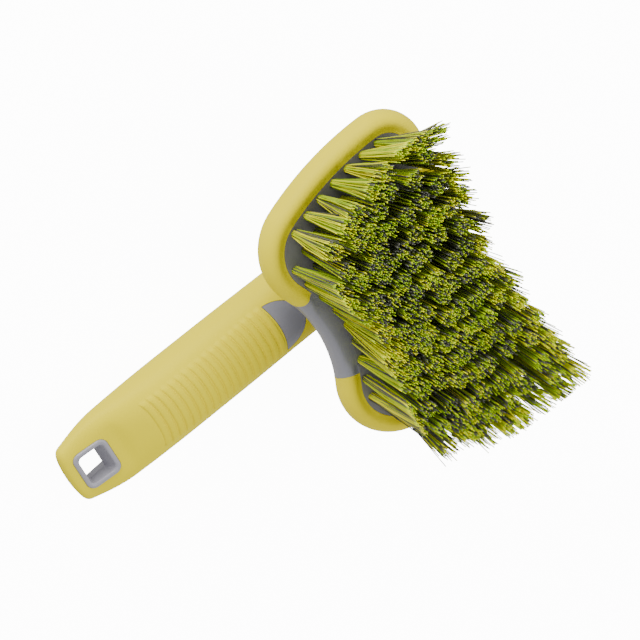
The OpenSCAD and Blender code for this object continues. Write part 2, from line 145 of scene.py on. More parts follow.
class Shade:
    """Builds one material's nodes."""

    def __init__(self, name: str) -> None:
        """Makes the material.

        Args:
            name: The material's name.
        """
        self.material = bpy.data.materials.new(name)
        self.material.use_nodes = True
        self.tree = self.material.node_tree
        self.shader = self.tree.nodes["Principled BSDF"]

    def node(self, kind: str, settings: dict, inputs: dict, output: int | str = 0) -> Expr:
        """Adds any node.

        Args:
            kind: The node's type name.
            settings: Values of the node itself, set before its sockets; "ramp" holds a ramp's stops.
            inputs: Socket name or number to a constant or an Expr.
            output: The output socket to return.

        Returns:
            The chosen output as an expression.
        """
        made = self.tree.nodes.new(kind)
        for key, value in settings.items():
            if key == "ramp":
                self._ramp(made.color_ramp, value)
            else:
                setattr(made, key, value)
        for key, value in inputs.items():
            if isinstance(value, Expr):
                self.tree.links.new(value.socket, made.inputs[key])
            else:
                made.inputs[key].default_value = value
        return Expr(self, made.outputs[output])

    @staticmethod
    def _ramp(ramp: bpy.types.ColorRamp, stops: list) -> None:
        """Sets a colour ramp's stops.

        Args:
            ramp: The ramp to fill.
            stops: Pairs of position and colour.
        """
        while len(ramp.elements) < len(stops):
            ramp.elements.new(1.0)
        for element, (position, colour) in zip(ramp.elements, stops):
            element.position = position
            element.color = (*colour, 1.0)

    def blend(self, share: "Expr | float", first: "Expr | tuple", second: "Expr | tuple") -> Expr:
        """Mixes two colours.

        Args:
            share: How much of the second colour to take, 0 to 1.
            first: The colour at 0.
            second: The colour at 1.

        Returns:
            The mixed colour.
        """
        first = first if isinstance(first, Expr) else (*first, 1.0)
        second = second if isinstance(second, Expr) else (*second, 1.0)
        return self.node("ShaderNodeMix", {"data_type": "RGBA"}, {0: share, 6: first, 7: second}, 2)

    def noise(self, scale: float, detail: float = 2.0, axis: Axis = Axis.EVEN) -> Expr:
        """Makes fractal noise on the piece's own coordinates.

        Args:
            scale: Cycles a metre.
            detail: Octaves.
            axis: Which way the grain runs.

        Returns:
            The noise, about 0 to 1.
        """
        where = self.node("ShaderNodeTexCoord", {}, {}, "Object")
        stretched = self.node("ShaderNodeVectorMath", {"operation": "MULTIPLY"},
                              {0: where, 1: axis.value})
        return self.node("ShaderNodeTexNoise", {},
                         {"Vector": stretched, "Scale": scale, "Detail": detail})

    def attribute(self, name: str) -> Expr:
        """Returns a number that the mesh stores."""
        return self.node("ShaderNodeAttribute", {"attribute_name": name}, {}, "Fac")

    def bump(self, height: Expr, distance: float, strength: float) -> None:
        """Feeds a height to the shader's normal.

        Args:
            height: The height, 0 to 1.
            distance: What a height of 1 stands for, in metres.
            strength: How strongly it acts.
        """
        values = {"Height": height, "Distance": distance, "Strength": strength}
        self.set("Normal", self.node("ShaderNodeBump", {}, values, "Normal"))

    def set(self, socket: str, value: "Expr | float | tuple") -> None:
        """Sets one socket of the main shader.

        Args:
            socket: The socket's name.
            value: A number, a colour or an expression.
        """
        if isinstance(value, Expr):
            self.tree.links.new(value.socket, self.shader.inputs[socket])
        elif isinstance(value, tuple):
            self.shader.inputs[socket].default_value = (*value, 1.0)
        else:
            self.shader.inputs[socket].default_value = value


@dataclass(frozen=True)
class SoftRubber:
    """Overmoulded soft-touch rubber with a fine spark-eroded grain."""

    name: str = "soft_yellow"
    lit: tuple = (0.790, 0.672, 0.0)
    deep: tuple = (0.735, 0.612, 0.0)
    roughness: float = 0.5
    specular: float = 0.1
    cloud_scale: float = 38.0
    cloud_detail: float = 3.0
    cloud_share: float = 0.75
    cloud_gloss: float = 0.08
    speckle_scale: float = 900.0
    speckle_share: float = 0.25
    speckle_gloss: float = 0.14
    grain: float = 2600.0
    grain_detail: float = 3.0
    grain_height: float = 0.00004
    grain_strength: float = 0.55

    def build(self) -> bpy.types.Material:
        """Makes the finish.

        Returns:
            The finished material.
        """
        shade = Shade(self.name)
        cloud = shade.noise(self.cloud_scale, self.cloud_detail)
        speckle = shade.noise(self.speckle_scale)
        share = (cloud * self.cloud_share + speckle * self.speckle_share).clamp()
        shade.set("Base Color", shade.blend(share, self.deep, self.lit))
        shade.set("Roughness", self.roughness + (speckle - 0.5) * self.speckle_gloss
                  + (cloud - 0.5) * self.cloud_gloss)
        shade.set("Specular IOR Level", self.specular)
        shade.bump(shade.noise(self.grain, self.grain_detail), self.grain_height, self.grain_strength)
        return shade.material


@dataclass(frozen=True)
class MouldedPlastic:
    """Rigid moulded plastic with faint flow marks and a satin grain."""

    name: str
    light: tuple
    dark: tuple
    roughness: float = 0.38
    flow_scale: float = 26.0
    flow_detail: float = 4.0
    flow_share: float = 0.7
    flow_gloss: float = 0.16
    speckle_scale: float = 1100.0
    speckle_share: float = 0.3
    speckle_gloss: float = 0.1
    grain: float = 1900.0
    grain_height: float = 0.00003
    grain_strength: float = 0.5

    def build(self) -> bpy.types.Material:
        """Makes the finish.

        Returns:
            The finished material.
        """
        shade = Shade(self.name)
        flow = shade.noise(self.flow_scale, self.flow_detail, Axis.ALONG_HANDLE)
        speckle = shade.noise(self.speckle_scale)
        share = (flow * self.flow_share + speckle * self.speckle_share).clamp()
        shade.set("Base Color", shade.blend(share, self.dark, self.light))
        shade.set("Roughness", self.roughness + (flow - 0.5) * self.flow_gloss
                  + (speckle - 0.5) * self.speckle_gloss)
        shade.bump(shade.noise(self.grain), self.grain_height, self.grain_strength)
        return shade.material


@dataclass(frozen=True)
class Filament:
    """Extruded bristle filament: one material that runs from dark to lemon by each filament's tint."""

    name: str = "bristle"
    leaf: tuple = (0.190, 0.340, 0.0)
    lime: tuple = (0.400, 0.540, 0.0)
    lemon: tuple = (0.720, 0.690, 0.0)
    dark: tuple = (0.030, 0.034, 0.024)
    grey: tuple = (0.125, 0.122, 0.105)
    grey_at: float = 0.36
    leaf_at: float = 0.40
    lime_at: float = 0.62
    # painted highlight on each filament's cut tip: where along it starts, how fast it rises and how much it
    # lightens the colour
    tip_highlight_from: float = 0.93
    tip_highlight_rise: float = 30.0
    tip_highlight_gain: float = 1.45
    # painted shade: how strongly levels below 0, at the feet of filaments in inner tufts, darken the colour
    foot_painted_shade: float = 0.55
    specular: float = 0.25
    roughness: float = 0.42
    scuff_scale: float = 500.0
    scuff_gloss: float = 0.12

    def build(self) -> bpy.types.Material:
        """Makes the finish.

        Returns:
            The finished material.
        """
        shade = Shade(self.name)
        tint = shade.attribute("tint")
        along = shade.attribute("along")
        stops = [(0.0, self.dark), (self.grey_at, self.grey), (self.leaf_at, self.leaf),
                 (self.lime_at, self.lime), (1.0, self.lemon)]
        colour = shade.node("ShaderNodeValToRGB", {"ramp": stops}, {0: tint})
        # painted highlight: the colour is lightened over the last stretch of each filament, at its cut tip
        tip = ((along - self.tip_highlight_from) * self.tip_highlight_rise).clamp()
        scaled = {"operation": "SCALE"}
        highlighted_tip = shade.node("ShaderNodeVectorMath", scaled, {0: colour, "Scale": self.tip_highlight_gain})
        # painted shade: levels below 0, at the feet of filaments in inner tufts, darken the colour towards
        # the root
        foot = (along * self.foot_painted_shade + 1.0).clamp()
        shaded_foot = shade.node("ShaderNodeVectorMath", scaled, {0: colour, "Scale": foot})
        shade.set("Base Color", shade.blend(tip, shaded_foot, highlighted_tip))
        shade.set("Specular IOR Level", self.specular)
        shade.set("Roughness", self.roughness + shade.noise(self.scuff_scale, 1.0) * self.scuff_gloss)
        return shade.material


# ---------------------------------------------------------------- meshes


@dataclass(frozen=True)
class Place:
    """Where the head's datum lies in the row frame."""

    datum_y: float

    def point(self, p: Point) -> Point:
        """Returns a millimetre point of the brush as metres of the row frame."""
        return (p[0] * MM, p[1] * MM + self.datum_y, p[2] * MM)


def new_piece(name: str, points: list, faces: list, place: Place,
              smooth_angle: float | None = 40.0) -> bpy.types.Object:
    """Makes a mesh piece.

    Args:
        name: The piece's name.
        points: Millimetre points.
        faces: Tuples of point numbers.
        place: Turns the points into the row frame.
        smooth_angle: Edges sharper than this, in degrees, stay sharp; None leaves every edge smooth.

    Returns:
        The object, linked to the scene.
    """
    mesh = bpy.data.meshes.new(name)
    mesh.from_pydata([place.point(p) for p in points], [], faces)
    mesh.validate()
    mesh.shade_smooth()
    if smooth_angle is not None:
        mesh.set_sharp_from_angle(angle=math.radians(smooth_angle))
    made = bpy.data.objects.new(name, mesh)
    bpy.context.collection.objects.link(made)
    return made


def skin(rings: list[Ring], start_cap: bool = True, end_cap: bool = True,
         cycle: bool = False) -> tuple[list, list]:
    """Joins closed rings of equal length into one surface.

    Args:
        rings: The rings, in order.
        start_cap: Whether to close the first ring.
        end_cap: Whether to close the last ring.
        cycle: Whether the last ring joins the first.

    Returns:
        The points and the faces.
    """
    n = len(rings[0])
    points = [p for ring in rings for p in ring]
    pairs = [(r, r + 1) for r in range(len(rings) - 1)] + ([(len(rings) - 1, 0)] if cycle else [])
    faces = [(a * n + i, a * n + (i + 1) % n, b * n + (i + 1) % n, b * n + i)
             for a, b in pairs for i in range(n)]
    if start_cap:
        faces.append(tuple(range(n - 1, -1, -1)))
    if end_cap:
        faces.append(tuple(range((len(rings) - 1) * n, len(rings) * n)))
    return points, faces


def fix_normals(piece: bpy.types.Object) -> None:
    """Welds a closed piece's doubled points and turns every face outwards.

    Args:
        piece: The piece that changes.
    """
    work = bmesh.new()
    work.from_mesh(piece.data)
    bmesh.ops.remove_doubles(work, verts=work.verts, dist=WELD)
    bmesh.ops.recalc_face_normals(work, faces=work.faces)
    work.to_mesh(piece.data)
    work.free()


def carve(piece: bpy.types.Object, tool: bpy.types.Object, operation: str) -> None:
    """Applies a boolean of a tool to a piece and deletes the tool.

    Args:
        piece: The piece that changes.
        tool: The closed shape to use.
        operation: DIFFERENCE or INTERSECT.
    """
    change = piece.modifiers.new("carve", "BOOLEAN")
    change.operation = operation
    change.object = tool
    change.solver = "EXACT"
    graph = bpy.context.evaluated_depsgraph_get()
    result = bpy.data.meshes.new_from_object(piece.evaluated_get(graph))
    piece.modifiers.clear()
    old = piece.data
    piece.data = result
    bpy.data.meshes.remove(old)
    bpy.data.objects.remove(tool)


def dress(piece: bpy.types.Object, material: bpy.types.Material, slot: str, *nodes: str) -> None:
    """Gives a piece its finish and its place in the assembly.

    Args:
        piece: The piece.
        material: Its finish.
        slot: The name of its material slot; not used.
        nodes: The solids that it stands for.
    """
    piece.data.materials.clear()
    piece.data.materials.append(material)
    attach(piece, "root")
    if nodes:
        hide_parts(*nodes)
    LOG.info("%s: %d faces", piece.name, len(piece.data.polygons))


# ---------------------------------------------------------------- head


@dataclass(frozen=True)
class EdgePoint:
    """A point of the head's outline with its outward direction."""

    x: float
    y: float
    nx: float
    ny: float


@dataclass
class HeadOutline:
    """The head's outline: six tangent arcs a side, from the middle of the rear edge to the front."""

    front_w: float = 142.0
    lobe_w: float = 125.6
    lobe_back: float = 25.6
    corner_fwd: float = 17.9
    lobe_r: float = 27.0
    corner_r: float = 19.5
    side_r: float = 140.0
    rear_r: float = 62.0
    front_r: float = 400.0
    bare_half: float = 21.2
    # how many steps each arc takes
    bare_steps: int = 12
    rear_steps: int = 12
    lobe_steps: int = 40
    side_steps: int = 20
    corner_steps: int = 32
    front_steps: int = 20

    def __post_init__(self) -> None:
        """Works out the arcs' centres and the directions in which they meet."""
        self.lobe = np.array([self.lobe_w / 2 - self.lobe_r, -self.lobe_back])
        self.corner = np.array([self.front_w / 2 - self.corner_r, self.corner_fwd])
        rear_reach, front_reach = self.rear_r + self.lobe_r, self.front_r + self.corner_r
        self.rear_y = self.lobe[1] - math.sqrt(rear_reach ** 2 - self.lobe[0] ** 2)
        self.front_y = self.corner[1] + math.sqrt(front_reach ** 2 - self.corner[0] ** 2)
        self.side = self._meet(self.lobe, self.side_r - self.lobe_r,
                               self.corner, self.side_r - self.corner_r)
        self.bare_a = math.acos(self.bare_half / self.rear_r)
        self.rear_a = self._angle(self.lobe - np.array([0, self.rear_y]))
        self.lobe_a = self._angle(self.lobe - self.side)
        self.corner_a = self._angle(self.corner - self.side)
        self.front_a = self._angle(self.corner - np.array([0, self.front_y]))

    @staticmethod
    def _angle(v: np.ndarray) -> float:
        """Returns a vector's direction in radians."""
        return math.atan2(v[1], v[0])

    @staticmethod
    def _meet(p: np.ndarray, rp: float, q: np.ndarray, rq: float) -> np.ndarray:
        """Returns the left-hand meeting point of two circles.

        Args:
            p: Centre of the first circle.
            rp: Radius of the first circle.
            q: Centre of the second circle.
            rq: Radius of the second circle.

        Returns:
            The point.
        """
        d = float(np.linalg.norm(q - p))
        a = (rp * rp - rq * rq + d * d) / (2 * d)
        u = (q - p) / d
        return p + u * a + np.array([-u[1], u[0]]) * math.sqrt(rp * rp - a * a)

    @staticmethod
    def _arc(cx: float, cy: float, r: float, a0: float, a1: float, n: int,
             hollow: bool = False) -> list[EdgePoint]:
        """Draws one arc.

        Args:
            cx: The centre's x.
            cy: The centre's y.
            r: The radius.
            a0: The first point's direction from the centre.
            a1: The last point's direction from the centre.
            n: How many steps it takes.
            hollow: Whether the outline faces the arc's own centre.

        Returns:
            The points in order.
        """
        s = -1 if hollow else 1
        return [EdgePoint(cx + r * math.cos(a), cy + r * math.sin(a), s * math.cos(a), s * math.sin(a))
                for a in (mix(a0, a1, i / n) for i in range(n + 1))]

    def half(self) -> tuple[list[EdgePoint], list[EdgePoint]]:
        """Draws the right half of the outline.

        Returns:
            The bare stretch and the bumper's stretch.
        """
        rear = 0, self.rear_y, self.rear_r
        front = 0, self.front_y, self.front_r
        bare = self._arc(*rear, math.pi / 2, self.bare_a, self.bare_steps, True)
        arcs = [
            self._arc(*rear, self.bare_a, self.rear_a, self.rear_steps, True),
            self._arc(*self.lobe, self.lobe_r, self.rear_a - math.pi, self.lobe_a, self.lobe_steps),
            self._arc(*self.side, self.side_r, self.lobe_a, self.corner_a, self.side_steps),
            self._arc(*self.corner, self.corner_r, self.corner_a, self.front_a + math.pi,
                      self.corner_steps),
            self._arc(*front, self.front_a, -math.pi / 2, self.front_steps, True),
        ]
        return bare, [p for arc in arcs[:-1] for p in arc[:-1]] + arcs[-1]

    @staticmethod
    def mirrored(points: list[EdgePoint]) -> list[EdgePoint]:
        """Returns the points on the left side, in reverse order."""
        return [EdgePoint(-p.x, p.y, -p.nx, p.ny) for p in reversed(points)]

    def bumper_path(self) -> list[EdgePoint]:
        """Returns the bumper's stretch, from its right end round the front to its left end."""
        stretch = self.half()[1]
        return stretch + self.mirrored(stretch[:-1])

    def bare_path(self) -> list[EdgePoint]:
        """Returns the bare stretch from left to right."""
        bare = self.half()[0]
        return self.mirrored(bare[1:]) + bare

    def side_x(self, y: float, inset: float) -> float:
        """Measures the outline set in all round.

        Args:
            y: Where to measure.
            inset: How far in the line lies.

        Returns:
            The line's half width there.
        """
        def reach(c: np.ndarray, r: float) -> float:
            """Returns how far one arc of the line lies from the middle."""
            return float(c[0]) + math.sqrt(max(0.0, (r - inset) ** 2 - (y - float(c[1])) ** 2))
        if y < self.side[1] + (self.side_r - inset) * math.sin(self.lobe_a):
            return reach(self.lobe, self.lobe_r)
        if y < self.side[1] + (self.side_r - inset) * math.sin(self.corner_a):
            return reach(self.side, self.side_r)
        return reach(self.corner, self.corner_r)


@dataclass
class RimProfile:
    """The head's rounded rim, as pairs of distance in from the outline and height over the tuft face."""

    face_z: float = 58.0
    depth: float = 13.6
    band: float = 8.5
    crown_h: float = 1.6
    crown_in: float = 4.6
    widest: float = 6.0
    lip_in: float = 5.0
    seat: float = 4.0
    bumper_t: float = 3.6
    lip_a: float = math.radians(75)
    bead_h: float = 0.9
    bead_in: float = 3.4
    bead_blend: float = 0.55
    end_share: float = 0.86
    end_sink: float = 0.14
    slope_in: float = 9.4
    seat_step: float = 1.0
    face_steps: int = 8
    crown_steps: int = 14
    lip_steps: int = 12

    def _crown(self, width: float, height: float) -> list[tuple[float, float]]:
        """Returns the quarter oval from the top of the rim down to its widest line."""
        n = self.crown_steps
        return [(width * (1 - math.sin(a)), -self.widest + (self.widest + height) * math.cos(a))
                for a in (math.pi / 2 * i / n for i in range(n))]

    def outer(self) -> list[tuple[float, float]]:
        """Draws the profile from the tuft face over the crown to the lower lip.

        Returns:
            The profile's points.
        """
        n, lips = self.face_steps, self.lip_steps
        face = [(mix(self.band, self.crown_in, i / n), self.crown_h * (1 - math.cos(math.pi * i / n)) / 2)
                for i in range(n)]
        lip = [(self.lip_in * (1 - math.cos(a)) / (1 - math.cos(self.lip_a)),
                -self.widest - (self.depth - self.widest) * math.sin(a) / math.sin(self.lip_a))
               for a in (self.lip_a * i / lips for i in range(lips + 1))]
        return face + self._crown(self.crown_in, self.crown_h) + lip

    def bare(self, share: float) -> list[tuple[float, float]]:
        """Draws the profile of the bare rear rim, with as many points as the outer one.

        Args:
            share: 0 in the middle of the rear edge and 1 where the bumper starts.

        Returns:
            The profile's points.
        """
        n = self.face_steps
        slope = [(mix(self.slope_in, self.bead_in, i / n), self.bead_h * math.sin(math.pi / 2 * i / n))
                 for i in range(n)]
        bead = self._crown(self.bead_in, self.bead_h)
        outer = self.outer()
        plain = slope + bead + outer[len(slope) + len(bead):]
        k = ease((share - self.bead_blend) / (self.end_share - self.bead_blend))
        sink = self.end_sink * k
        return [(mix(p[0], q[0], k) + sink, mix(p[1], q[1], k) - sink) for p, q in zip(plain, outer)]

    def seat_line(self) -> list[tuple[float, float]]:
        """Returns the three inner corners of the bumper, from its lower end up to the tuft face."""
        return [(self.bumper_t, -self.widest), (self.bumper_t + self.seat_step, -self.seat),
                (self.band, -self.seat)]

    def at(self, e: EdgePoint, p: tuple[float, float]) -> Point:
        """Returns the profile's point p at an outline's point e."""
        return (e.x - e.nx * p[0], e.y - e.ny * p[0], self.face_z + p[1])


# ---------------------------------------------------------------- handle


@dataclass
class HandleForm:
    """The handle's sections, which taper from the palm swell to a flat square tail."""

    tail_back: float = 163.0
    neck_back: float = 33.0
    grip_half_w: float = 18.0
    grip_half_t: float = 14.0
    tail_half_w: float = 13.2
    tail_half_t: float = 4.6
    flare_l: float = 26.0
    taper_l: float = 62.0
    tail_round: float = 3.0
    tail_bow: float = 1.0
    neck_drop: float = 1.9
    tail_lift: float = 1.6
    waist: float = 0.4
    waist_back: float = 78.0
    # the flat facet on top of the tail
    facet_h: float = 4.3
    facet_rise: float = 0.105
    facet_l: float = 27.0
    facet_fade: float = 0.45
    facet_blend: float = 0.35
    # the underside and the end face at the neck
    under_run: float = 30.0
    end_in: float = 0.4
    flat_cut: float = 0.6
    # the ribbed pad; rib_shape pairs a share of the pitch with a share of the rib's height
    rib_front: float = 54.0
    rib_l: float = 67.5
    rib_count: int = 18
    pad_head: float = 42.3
    pad_tail: float = 36.0
    rib_h: float = 0.8
    groove_d: float = 0.9
    rib_bow: float = 1.6
    rib_gap: float = 0.6
    rib_shape: tuple = ((0.0, 0.12), (0.06, 0.55), (0.13, 0.88), (0.22, 1.0), (0.64, 1.0), (0.73, 0.88),
                        (0.80, 0.55), (0.86, 0.12), (0.93, 0.0))
    pad_edge: float = 0.97
    pad_fade: float = 0.09
    # how square the sections are, and how many points and sections are drawn
    grip_power: float = 2.25
    tail_power: float = 3.4
    columns: int = 96
    tail_steps: int = 10
    plain_steps: int = 26
    neck_steps: int = 14

    def __post_init__(self) -> None:
        """Works out the height of the handle's axis."""
        self.mid_z = self.grip_half_t - self.flat_cut

    def half_w(self, back: float) -> float:
        """Measures the handle's width.

        Args:
            back: Distance back from the datum.

        Returns:
            The half width there.
        """
        t = min(1.0, max(0.0, (self.tail_back - back) / self.flare_l))
        slim = self.waist * ease((self.waist_back - back) / (self.waist_back - self.neck_back))
        return mix(self.tail_half_w, self.grip_half_w, math.sin(math.pi / 2 * t)) - slim

    def axis_z(self, back: float) -> float:
        """Returns the height of the handle's axis, which climbs a little towards the tail."""
        t = max(0.0, (back - self.neck_back) / (self.tail_back - self.neck_back))
        return self.mid_z + mix(-self.neck_drop, self.tail_lift, t)

    def half_t(self, back: float) -> float:
        """Returns the half thickness at a distance back from the datum."""
        return mix(self.tail_half_t, self.grip_half_t, ease((self.tail_back - back) / self.taper_l))

    def facet_t(self, back: float) -> float:
        """Returns the height of the tail's flat facet over the handle's axis."""
        run = self.tail_back - back
        return self.facet_h + self.facet_rise * run + self.facet_fade * max(0.0, run - self.facet_l)

    def flattened(self, back: float, h: float) -> float:
        """Holds a height softly under the tail's facet.

        Args:
            back: Distance back from the datum.
            h: Height over the axis.

        Returns:
            The height as the facet leaves it.
        """
        cap = self.facet_t(back)
        over = (h - cap) / self.facet_blend
        if over > FAR_OVER:
            return cap
        return h - self.facet_blend * math.log1p(math.exp(over))

    def pad_a(self, back: float) -> float:
        """Returns how far round from the top the ribbed pad reaches, in radians."""
        t = min(1.0, max(0.0, (self.rib_front + self.rib_l - back) / self.rib_l))
        return math.radians(mix(self.pad_tail, self.pad_head, t))

    def point(self, back: float, a: float, d: float = 0.0, lift: float = 0.0, bow: float = 0.0,
              under: float = 0.0) -> Point:
        """Returns a point of the surface.

        Args:
            back: Distance back from the datum.
            a: Direction round the section in radians, 0 at the top.
            d: Distance set in from the surface.
            lift: Distance the pad stands proud there.
            bow: Distance the middle of a pad line moves towards the head.
            under: Distance the underside runs on towards the head.

        Returns:
            The point in millimetres.
        """
        n = mix(self.tail_power, self.grip_power, ease((self.tail_back - back) / self.taper_l))
        s = math.copysign(abs(math.sin(a)) ** (2 / n), math.sin(a))
        c = math.copysign(abs(math.cos(a)) ** (2 / n), math.cos(a))
        turn = abs((a + math.pi) % (2 * math.pi) - math.pi) / self.pad_a(back)
        k = 1 - ease((turn - self.pad_edge) / self.pad_fade)
        y = (-back + max(0.0, 1 - turn * turn) * bow + under * (1 - math.cos(a)) / 2
             + self.tail_bow * s * s * ease(1 - (self.tail_back - back) / self.flare_l))
        thick = self.half_t(back) if c > 0 else min(self.half_t(back), self.axis_z(back) + self.flat_cut)
        height = self.flattened(back, (thick - d + k * lift) * c)
        return (self.half_w(back) - d + k * lift * abs(s)) * s, y, max(d, self.axis_z(back) + height)

    def ring(self, back: float, d: float = 0.0, lift: float = 0.0, bow: float = 0.0,
             under: float = 0.0) -> Ring:
        """Returns one closed section, with the same values as point takes."""
        turns = (2 * math.pi * i / self.columns for i in range(self.columns))
        return [self.point(back, a, d, lift, bow, under) for a in turns]

    def ribs(self) -> list[Ring]:
        """Draws the ribbed pad.

        Returns:
            Its sections, tail end first.
        """
        pitch = self.rib_l / self.rib_count
        rings = [self.ring(self.rib_front + self.rib_l - (r + s) * pitch, 0.0,
                           self.rib_h - self.groove_d * (1 - h), self.rib_bow)
                 for r in range(self.rib_count) for s, h in self.rib_shape]
        return rings + [self.ring(self.rib_front, 0.0, self.rib_h - self.groove_d, self.rib_bow)]

    def sections(self) -> list[Ring]:
        """Draws the whole handle.

        Returns:
            Its sections from the tail end to the neck, where the last one closes in on the end face.
        """
        tail = [self.ring(self.tail_back - self.tail_round * (1 - math.cos(a)),
                          self.tail_round * (1 - math.sin(a)))
                for a in (math.pi / 2 * i / self.tail_steps for i in range(self.tail_steps + 1))]
        plain_start = self.tail_back - self.tail_round
        plain_end = self.rib_front + self.rib_l + self.rib_gap
        plain = [self.ring(mix(plain_start, plain_end, i / self.plain_steps))
                 for i in range(1, self.plain_steps + 1)]
        start = self.rib_front - self.rib_gap - self.rib_bow
        n = self.neck_steps
        neck = [self.ring(mix(start, self.neck_back, i / n), under=self.under_run * i / n)
                for i in range(n + 1)]
        end_face = self.ring(self.neck_back, self.end_in, under=self.under_run)
        return tail + plain + self.ribs() + neck + [end_face]


@dataclass
class SoftGrip:
    """The overmoulded grip, with its window over the finger rest and its hole for the eyelet."""

    place: Place
    form: HandleForm
    rest_half_w: float = 12.2
    rest_l: float = 13.0
    fit: float = 0.1
    seam: float = 0.22
    window_low: float = 3.0
    window_high: float = 30.0
    oval_steps: int = 60
    end_steps: int = 30
    end_gap: float = 0.02
    sharp_angle: float = 50.0

    def rest_cutter(self, name: str, grow: float) -> bpy.types.Object:
        """Returns the column over the finger rest: half an oval, closed by the pad's bowed end.

        Args:
            name: The column's name.
            grow: How much larger than the rest it is.

        Returns:
            The closed column.
        """
        bow = self.form.rib_bow
        end_r = (self.rest_half_w ** 2 / bow + bow) / 2
        half, length = self.rest_half_w + grow, self.rest_l + bow + grow
        base = -self.form.rib_front
        end_c = base + bow + self.form.rib_gap - end_r
        reach = end_r - grow
        oval = [(half * math.cos(a), base + length * math.sin(a))
                for a in (math.pi * i / self.oval_steps for i in range(self.oval_steps + 1))]
        oval = [p for p in oval
                if p[1] > end_c + math.sqrt(max(0.0, reach ** 2 - p[0] ** 2)) + self.end_gap]
        edge = oval[-1][0], oval[0][0]
        oval += [(x, end_c + math.sqrt(reach ** 2 - x * x))
                 for x in (mix(*edge, i / self.end_steps) for i in range(self.end_steps + 1))]
        low, high = self.form.mid_z + self.window_low, self.form.mid_z + self.window_high
        tool = new_piece(name, *skin([[(*p, z) for p in oval] for z in (low, high)]), self.place)
        fix_normals(tool)
        return tool

    def build(self, rubber: bpy.types.Material, plastic: bpy.types.Material, eyelet: "Eyelet") -> None:
        """Builds the grip and the finger rest in its window.

        Args:
            rubber: The grip's finish.
            plastic: The finger rest's finish.
            eyelet: Gives the hole in the tail.
        """
        grip = new_piece("grip", *skin(self.form.sections()), self.place, None)
        fix_normals(grip)
        rest = grip.copy()
        rest.data = grip.data.copy()
        rest.name = "finger_rest"
        bpy.context.collection.objects.link(rest)
        carve(grip, self.rest_cutter("window_tool", self.seam), "DIFFERENCE")
        carve(grip, eyelet.cutter(self.fit), "DIFFERENCE")
        carve(rest, self.rest_cutter("rest_tool", 0.0), "INTERSECT")
        for piece in (grip, rest):
            piece.data.shade_smooth()
            piece.data.set_sharp_from_angle(angle=math.radians(self.sharp_angle))
        dress(grip, rubber, "soft_yellow", "grip_sleeve")
        dress(rest, plastic, "core_grey", "core_moulding")


@dataclass
class Eyelet:
    """The square grommet in the tail, whose walls draft in to a throat half way through."""

    place: Place
    form: HandleForm
    tail_in: float = 13.4
    width: float = 18.6
    length: float = 17.2
    wall: float = 2.3
    side_draft: float = 0.8
    tail_draft: float = 0.6
    head_draft: float = 3.0
    lip: float = 0.7
    corner: float = 3.8
    mouth_corner: float = 1.5
    throat_corner: float = 1.2
    edge: float = 0.9
    corner_points: int = 12
    edge_steps: int = 6
    wall_shares: tuple = (0.3, 0.6, 0.88)
    cut_span: tuple = (-2.0, 40.0)
    sharp_angle: float = 35.0

    def __post_init__(self) -> None:
        """Works out where the eyelet is and how thick it is at its two ends."""
        self.back = self.form.tail_back - self.tail_in
        ends = [self.back + k * self.length / 2 for k in (1, -1)]
        self.half_t = [min(self.form.half_t(b), self.form.facet_t(b)) + self.lip for b in ends]

    def ring(self, inset: float, corner: float, side: float, drop: float, throat: float = 0.0) -> Ring:
        """Returns a rounded square.

        Args:
            inset: Distance in from the outside.
            corner: Its corner radius.
            side: 1 at the top, -1 at the bottom and 0 half way.
            drop: Distance from the face towards the middle.
            throat: How far the walls have drafted in, 0 at the mouth and 1 at the throat.

        Returns:
            The square's points in order.
        """
        w = self.width / 2 - inset - corner - self.side_draft * throat
        head = self.length / 2 - inset - corner - self.head_draft * throat
        tail = self.length / 2 - inset - corner - self.tail_draft * throat
        ring = []
        for i in range(4 * self.corner_points):
            q, a = divmod(i, self.corner_points)
            turn = math.pi / 2 * (q + a / (self.corner_points - 1))
            x = (w if q in (0, 3) else -w) + corner * math.cos(turn)
            y = (head if q in (0, 1) else -tail) + corner * math.sin(turn)
            t = mix(*self.half_t, (y / self.length) + 0.5)
            ring.append((x, y - self.back, self.form.axis_z(self.back - y) + side * (t - drop)))
        return ring

    def cutter(self, gap: float) -> bpy.types.Object:
        """Makes the block that the tail's hole is cut with.

        Args:
            gap: How much larger than the grommet it is all round.

        Returns:
            The closed block.
        """
        low, high = ([(x, y, z) for x, y, _ in self.ring(-gap, self.corner + gap, 1, 0)]
                     for z in self.cut_span)
        tool = new_piece("eyelet_tool", *skin([low, high]), self.place)
        fix_normals(tool)
        return tool

    def build(self, plastic: bpy.types.Material) -> None:
        """Builds the grommet.

        Args:
            plastic: Its finish.
        """
        e, middle = self.edge, sum(self.half_t) / 2
        turns = [math.pi / 2 * i / self.edge_steps for i in range(self.edge_steps + 1)]
        steps = [(e * (1 - math.sin(a)), self.corner - e * (1 - math.sin(a)), e * (1 - math.cos(a)), 0.0)
                 for a in reversed(turns)]
        steps += [(self.wall - e * (1 - math.sin(a)), self.mouth_corner + e * math.sin(a),
                   e * (1 - math.cos(a)), 0.0) for a in turns]
        steps += [(self.wall, self.throat_corner, mix(e, middle, k), k) for k in self.wall_shares]
        upper, lower = ([self.ring(inset, corner, side, drop, throat)
                         for inset, corner, drop, throat in order]
                        for side, order in ((1, steps), (-1, reversed(steps))))
        waist = self.ring(self.wall, self.throat_corner, 0, 0.0, 1.0)
        points, faces = skin([*upper, waist, *lower], False, False, True)
        ring = new_piece("hang_ring", points, faces, self.place, self.sharp_angle)
        fix_normals(ring)
        dress(ring, plastic, "eyelet_grey", "hang_eyelet")


# ---------------------------------------------------------------- core and bumper


